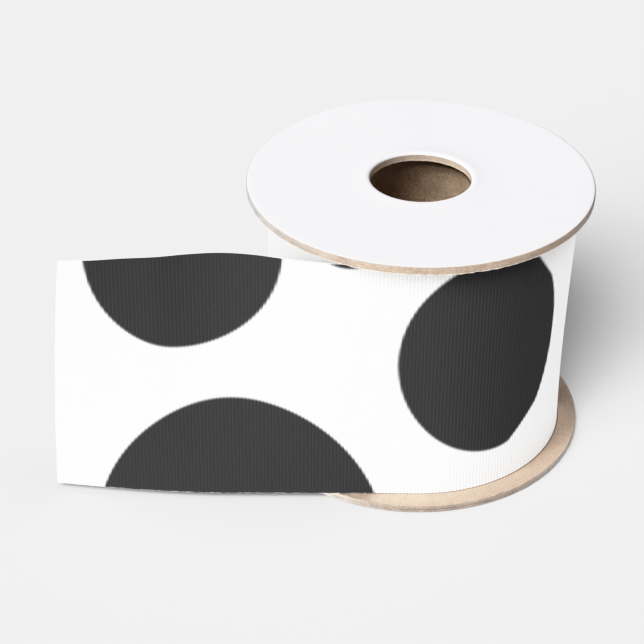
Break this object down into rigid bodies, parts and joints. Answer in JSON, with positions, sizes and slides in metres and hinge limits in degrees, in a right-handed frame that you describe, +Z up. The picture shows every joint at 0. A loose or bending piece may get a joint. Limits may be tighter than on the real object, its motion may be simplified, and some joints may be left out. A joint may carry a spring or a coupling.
{
  "type": "spool of grosgrain ribbon",
  "caption": "Wide ribbed ribbon wound on a board tube between round board flanges, with a loose end standing on edge.",
  "frame": {"origin": "on the surface it stands on, under the middle of the whole length, loose end included; the spool's own axis is 26 mm from it towards +X", "axes": "+Z up along the spool's axis, +X from the loose end towards the spool, -Y the side where the ribbon leaves the roll"},
  "size_m": [0.1524, 0.1, 0.0816],
  "materials": {
    "white_board": "white paper liner over kraft board, matt, with a bare tan edge",
    "kraft_board": "pale kraft board, matt, with fine fibres",
    "tube_board": "wound brown board, matt and mottled",
    "ribbon_cloth": "ribbed polyester ribbon, white with large black dots on the outside"
  },
  "bodies": {
    "root": {"flange_bottom": "kraft_board", "core_tube": "tube_board", "ribbon_roll": "ribbon_cloth", "ribbon_tail": "ribbon_cloth", "flange_top": "white_board"}
  },
  "joints": []
}
